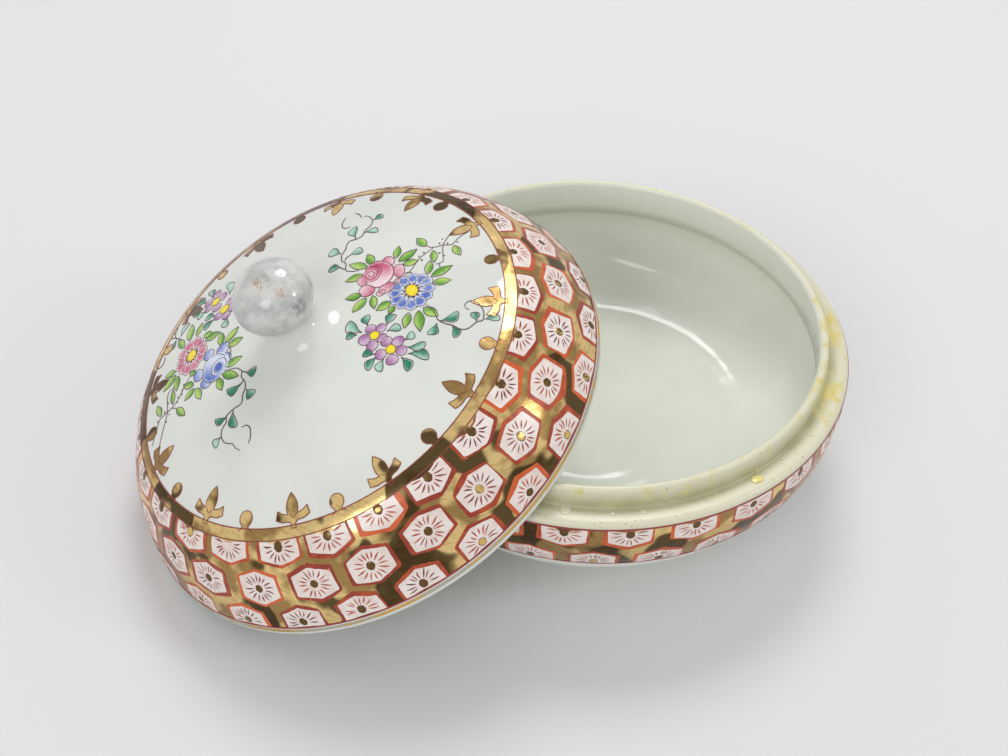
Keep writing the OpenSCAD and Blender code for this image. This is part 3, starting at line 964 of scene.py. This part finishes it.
draw(plum, [
    [(16.6, 8.9), (15.2, 9.6), (14, 10.7), (13.9, 11.7), (14.3, 13.5), (13.6, 15), (13.9, 17.1),
     (15.1, 18.6), (15.7, 20.2), (16.7, 21.2), (18.3, 20.7), (19.8, 21.2), (20.6, 22.7), (22.1, 23.7),
     (22.9, 25.5), (22.7, 27.3), (22.1, 28.6), (21.3, 29.1)],
    [(20.6, 29.1), (20.4, 30.7), (19.5, 32.3)],
    [(17, 32.3), (16.1, 30.7), (15.7, 28.9), (16.2, 27.6), (17.1, 27.1), (17.6, 27.3)],
    [(18.0, 20.9), (18.2, 22.1)], [(14.2, 14.5), (14.9, 15.4), (16.2, 15.8)], [(13.8, 11.4), (12.9, 12.7)],
    [(27.7, -9.9), (28.6, -12.6), (28.7, -15), (29.7, -16.7), (31, -17.9), (32.1, -19.5),
     (33.6, -20.1), (35.9, -19.2), (37.2, -19.2), (38.1, -16.9), (37.7, -14.4), (36.4, -13.1),
     (35.1, -13.7), (35.1, -14.9), (35.6, -15.3)],
], 0.3, 0.7)
draw(plum, [
    [(25.6, 0.8), (27.7, 2.1), (29, 3.6), (30.5, 4.9), (33.6, 6.5)],
    [(32.3, 8.3), (33.6, 6.7), (35.9, 6.3), (37.7, 5.6), (39.7, 7.2), (42.1, 8.3)],
    [(39.5, 10.8), (36.4, 7.2), (35.5, 5.1), (34.9, 2.3), (34.4, 0.9), (32.8, 0.9)],
    [(33.5, 0.9), (33.5, -0.6)], [(26.0, 1.8), (27.4, 1.0), (26.9, 0.5)],
], 0.26, 0.3)
dab([(36.2, 8.5), (35.3, 7.3), (36.9, 6.4), (39, 5.8), (34.5, 4.1), (35.3, 2.7), (30.1, 5.4),
     (31.4, 6), (30.4, 3.8)])

# The left-hand spray mirrors it loosely: a pink daisy over a blue rose, with its lilac pair high
# beside the knob, a tendril that falls towards the lip, and stems to the border.
paint_daisy(pink, (-28.5, 16.2), (5.0, 5.7), 5, (0.7, 1.0))
paint_heart((-28.4, 16.2), 1.45, 1.7, 13)
paint_round_petals(blue, [
    (-27.5, 7.7, 1.5, 1.8, 10, 180), (-23.7, 11.6, 1.6, 1.5, 0, 160), (-19.6, 9.9, 1.9, 1.8, 0, 130),
    (-26.1, 3.6, 1.3, 1.8, 35, 180), (-18.8, 6.2, 0.9, 1.6, 0, 90),
], 0.1, 0.85)
cup = oval((-22.6, 6.1), 3.9, 4.1)
blue.patch(cup, panel_lift, 0.45, cup_tone((-22.6, 6.2), (-0.75, -0.65), 4.2, 0.3, 0.4, 1.5))
blue.patch(oval((-21.8, 5.2), 1.9, 2.1), panel_lift + 0.015, 0.45,
           lambda flat, depth: np.clip(depth / 1.2, 0.05, 1))
draw(plum, [
    cup[6:18],
    [(-23.2, 3.3), (-23.9, 4.9), (-23.4, 6.8), (-21.9, 7.6), (-20.2, 7.2), (-19.4, 5.6), (-19.9, 4.0)],
    [(-22.9, 9.9), (-21.3, 9.6), (-20.2, 8.4), (-19.4, 7.2)],
    [(-17.9, 9.0), (-17.7, 7.6), (-18.4, 6.2), (-18.5, 4.9)],
], 0.24, 0.55)
draw(plum, [spiral((-21.8, 5.2), 0.35, 1.75, 1.3, 200, 1.1)], 0.2, 0.75)
paint_round_petals(lilac, [
    (-21.9, 29.3, 1.3, 1.5, 0, 180), (-21.8, 31.6, 1.3, 1.2, 0, 200), (-19.1, 32.6, 1.2, 1.5, -15, 90),
    (-17.3, 29.6, 1.1, 1.5, 0, 0), (-19.5, 26.6, 1.4, 1.2, 0, 250), (-19.3, 22.9, 1.4, 1.4, 0, 200),
    (-17.2, 20.7, 1.3, 1.2, 0, 260), (-15.4, 22.0, 1.0, 1.3, 0, 300), (-15.6, 25.3, 1.1, 1.3, 0, 40),
], 0.2, 0.95)
paint_heart((-19.6, 29.6), 1.35, 1.3)
paint_heart((-17.4, 23.7), 1.35, 1.45)
paint_leaves(green, [
    (-30.4, 21.6, -31.6, 25.8, 2.0), (-28.5, 22.3, -27.5, 27.3, 2.4), (-26.2, 21.7, -24.4, 24.7, 2.0),
    (-24.1, 19.7, -22.1, 18.4, 1.9), (-23.9, 17.6, -20.2, 16.5, 2.4), (-33.9, 15.7, -36.7, 16.9, 2.0),
    (-33.9, 14.4, -37.7, 13, 2.4), (-33.5, 13.5, -34.3, 9.7, 2.1), (-29.6, 11.0, -28.4, 9.2, 1.6),
    (-19.9, 11.5, -19.4, 15.3, 2.0), (-18.8, 11.3, -15.1, 13.1, 2.4), (-18.3, 9.6, -14.6, 9.0, 2.3),
    (-20.1, 3.9, -16, 3.4, 2.2), (-21.3, 2.4, -18, -1, 2.2), (-22.6, 2.1, -22.4, -1.4, 2.1),
    (-29.4, 6.1, -31.8, 8.2, 2.0), (-29.3, 4.9, -32.2, 4.0, 1.9), (-28.8, 4.4, -28.4, 0.9, 2.0),
    (-40.2, 6, -40.8, 9.5, 1.7), (-36.2, 6, -35.5, 9.8, 1.5), (-35.3, 3.7, -33.8, 0.3, 1.9),
], 0.46, 0.85, 0.2)
paint_leaves(teal, [
    (-22.6, 32.5, -25.9, 35.8, 2.5), (-20.6, 32.7, -21.6, 36.6, 1.9), (-23.4, 31.2, -26.9, 32.2, 2.2, 0.3),
    (-22.7, 29, -25.5, 28.2, 2.1), (-20.3, 23.9, -23.3, 25.4, 2.0), (-20.6, 22.7, -23.9, 21.7, 2.3),
    (-16.9, 19.7, -17.6, 16.6, 2.1), (-15.6, 28.2, -15.8, 33.8, 2.2), (-31.1, 27.3, -28.1, 29.8, 1.9, 0.4),
    (-32.6, 27.8, -35.3, 25.7, 2.1, 0.2), (-32.8, 30.6, -32.2, 32.6, 1.2),
    (-15.6, -1.9, -12.6, -2.6, 2.2, -0.9), (-17.2, -4.1, -21.2, -3.1, 2.3, 0.9),
    (-16.5, -6.6, -14.6, -9.0, 2.4, -0.7), (-22.9, -9.9, -26.1, -8.5, 1.7, 0.7),
    (-21.0, -9.6, -21.5, -14.1, 2.2), (-25.9, -13.6, -28.3, -13.2, 2.2, 0.9),
], 0.64, 1.2, -0.7, arched=True)
draw(plum, [
    [(-31.0, 25.2), (-31.3, 26.4), (-32.1, 27.6), (-33.4, 29.4), (-34.7, 30.5)],
    [(-32.9, 29.0), (-32.8, 30.4)], spiral((-38.3, 24.4), 1.3, 1.6, 0.85, 70, 1.2),
    [(-20.6, 2.9), (-17.7, 1.3), (-16.7, 0), (-16.3, -1), (-16.8, -2.4), (-16.3, -4.3),
     (-16.6, -6.1), (-17.7, -7.4), (-18.6, -9.3), (-20.8, -9.3), (-23.1, -9.7), (-23.4, -11),
     (-24.9, -12), (-25.7, -13.5), (-25.4, -15.6), (-23.6, -17.4), (-23.3, -18.7), (-22.4, -20.1)],
    [(-20.3, -15.2), (-19, -15.5), (-18.4, -16.9), (-19, -18.9), (-19.9, -20)],
    [(-16.4, -0.9), (-15.3, -2.0)], [(-16.5, -3.7), (-17.4, -4.3), (-18.4, -4.6)],
], 0.3, 0.7)
draw(plum, [
    [(-29.8, 9.8), (-32.1, 8), (-34.2, 6), (-36.7, 5.2), (-40.3, 5.3), (-41.3, 4.7), (-44.6, 0.0)],
    [(-34.7, 10.8), (-36.7, 10.8), (-37.5, 9), (-38, 5.9), (-38.8, 3.9), (-41.1, 0.3), (-42.9, -2.8)],
    [(-36.7, 5.2), (-35.3, 3.7)], [(-37.8, 8.6), (-37.2, 7.2)],
], 0.26, 0.3)
dab([(-31.2, 7.9), (-32.8, 7.6), (-33.1, 6.6), (-34.4, 6.7), (-34.9, 5.5), (-37.8, 4.1), (-39.1, 2.8),
     (-41.6, 5.3), (-38.9, 5.9), (-32.0, 8.9)])

for paint in (pink, blue, lilac, yellow, green, teal, plum, rose):
    paint.piece()

# The knob is a flattened ball, thrown apart and luted to the lid with slip where the crown sweeps
# up to it. It is white at the neck and a mottled grey above, and of the gilding once dabbed on it
# only brown and gold traces are left.
knob_outline = np.vstack([
    [[0, flare[-1][1]]],
    neck_sweep[on_lid - 1:-1],
    arc([0, knob_z], knob_r, knob_h / 2, -neck_angle, 90, 72)[:-1],
    [[0, knob_z + knob_h / 2]],
])
glaze = Glaze("knob_glaze")
grey = glaze.mix(glaze.step(glaze.noise(5, 5, 0.6), 0.36, 0.66), (211, 211, 207), (179, 180, 177))
fine = glaze.times(glaze.step(glaze.noise(1.6, 4, 0.7), 0.54, 0.72), 0.4)
grey = glaze.mix(fine, grey, (156, 156, 153))
# Heights up the lid's leaning axis
axis = (-math.sin(lean), 0, math.cos(lean))
up = glaze.node("VectorMath", {0: glaze.place, 1: axis}, operation="DOT_PRODUCT").outputs["Value"]
axis_foot = lid_offset * math.sin(lean) + lid_rise * math.cos(lean)
greyed = glaze.rise(up, axis_foot + 36.0, axis_foot + 39.0)
colour = glaze.mix(greyed, glaze.clouded(white, cloud_white), grey)
# Traces of plum, brown and gilding, each by its angle, height and distance from the axis, and its reach
patchy = glaze.step(glaze.noise(1.3, 4, 0.7), 0.42, 0.62)
for angle, height, radius, reach, stain in (
        (-57, 43.4, 9.2, 3.0, (132, 116, 124)), (-57, 48.2, 7.3, 2.2, (186, 158, 132)),
        (-75, 50.6, 2.6, 3.2, (176, 146, 92))):
    spot = lean_on_bowl(np.append(polar(radius, angle), height))
    trace = glaze.times(glaze.near(*spot, reach), patchy)
    colour = glaze.mix(trace, colour, stain)
glaze.colour(colour)
glaze.put(glaze.shader, "Metallic", glaze.times(trace, 0.5))
glaze.gloss()
glaze.ripple(glaze.times(fine, 0.1))
knob_body = throw("knob_body", knob_outline, glaze, "lid", lean_on_bowl)
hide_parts("knob")

# The box stands on a plain pale floor of paper, and is not fixed to it. Far off, the floor goes over
# into the pale backdrop, which is only seen and throws no light on the box.
floor_mesh = bpy.data.meshes.new("floor")
floor_mesh.from_pydata([(-4, -4, 0), (4, -4, 0), (4, 4, 0), (-4, 4, 0)], [], [(0, 1, 2, 3)])
paper = mottled("floor_paper", 400, 2, (226, 226, 226), (220, 220, 221), roughness=0.7)
backdrop = (219, 219, 220)


def in_view(nodes):
    """1 for what is seen, directly, in gloss or through glass, and 0 for light on its way to things."""
    path = nodes.node("LightPath").outputs
    seen = nodes.sum("MAXIMUM", path["Is Camera Ray"], path["Is Glossy Ray"])
    return nodes.sum("MAXIMUM", seen, path["Is Transmission Ray"])


far_off = paper.node("Emission", {"Color": backdrop})
far = paper.sum("SUBTRACT", 1, paper.step(paper.near(0, 0, 0, 1100), 0.0, 0.65))
far = paper.times(far, in_view(paper))
join = paper.node("MixShader", {0: far, 1: paper.shader.outputs[0], 2: far_off.outputs[0]})
paper.put(paper.tree.nodes["Material Output"], "Surface", join.outputs[0])
floor_mesh.materials.append(paper.material)
floor = set_out("floor", floor_mesh)

# The light is plain and soft: an evenly lit pale room, a lamp above and behind the box, a small one
# at its right and a wide one in front. What is seen beyond the floor is the backdrop's colour.
world = bpy.data.worlds.new("room")
room = Nodes(world)
walls = room.tree.nodes["Background"]
room.put(walls, "Color", (244, 244, 246))
room.put(walls, "Strength", 0.68)
behind = room.node("Background", {"Color": backdrop})
either = room.node("MixShader", {0: in_view(room), 1: walls.outputs[0], 2: behind.outputs[0]})
room.put(room.tree.nodes["World Output"], "Surface", either.outputs[0])
bpy.context.scene.world = world
bpy.context.scene.view_settings.view_transform = "Standard"


def lamp(name, spot, width, power):
    """A round lamp that shines on the middle of the bowl."""
    target = Vector((0, 0, 0.03))
    light = bpy.data.lights.new(name, "AREA")
    light.shape = "DISK"
    light.size = width
    light.energy = power
    holder = set_out(name, light)
    holder.location = spot
    holder.rotation_euler = (target - Vector(spot)).to_track_quat("-Z", "Y").to_euler()


lamp("lamp_overhead", (0.15, 0.45, 0.9), 0.42, 3.3)
lamp("lamp_side", (0.7, -0.5, 0.6), 0.2, 1.0)
lamp("lamp_front", (-0.75, -0.75, 0.75), 0.6, 3.4)

# The camera looks down on the box from the front and a little from the left, at the photograph's
# viewing angle. Its place, turn and lens were fitted to the round edges that the photograph shows.
lens = bpy.data.cameras.new("camera")
lens.lens = 60.635
lens.sensor_width = 36
camera = set_out("camera", lens)
backward = Vector((-0.2190, -0.6906, 0.6893)).normalized()
rightward = Vector((0.181, 0.666, 0.724)).cross(backward).normalized()
turned = Matrix((rightward, backward.cross(rightward), backward)).transposed()
camera.matrix_world = Matrix.Translation((-0.11067, -0.27921, 0.30651)) @ turned.to_4x4()
bpy.context.scene.camera = camera
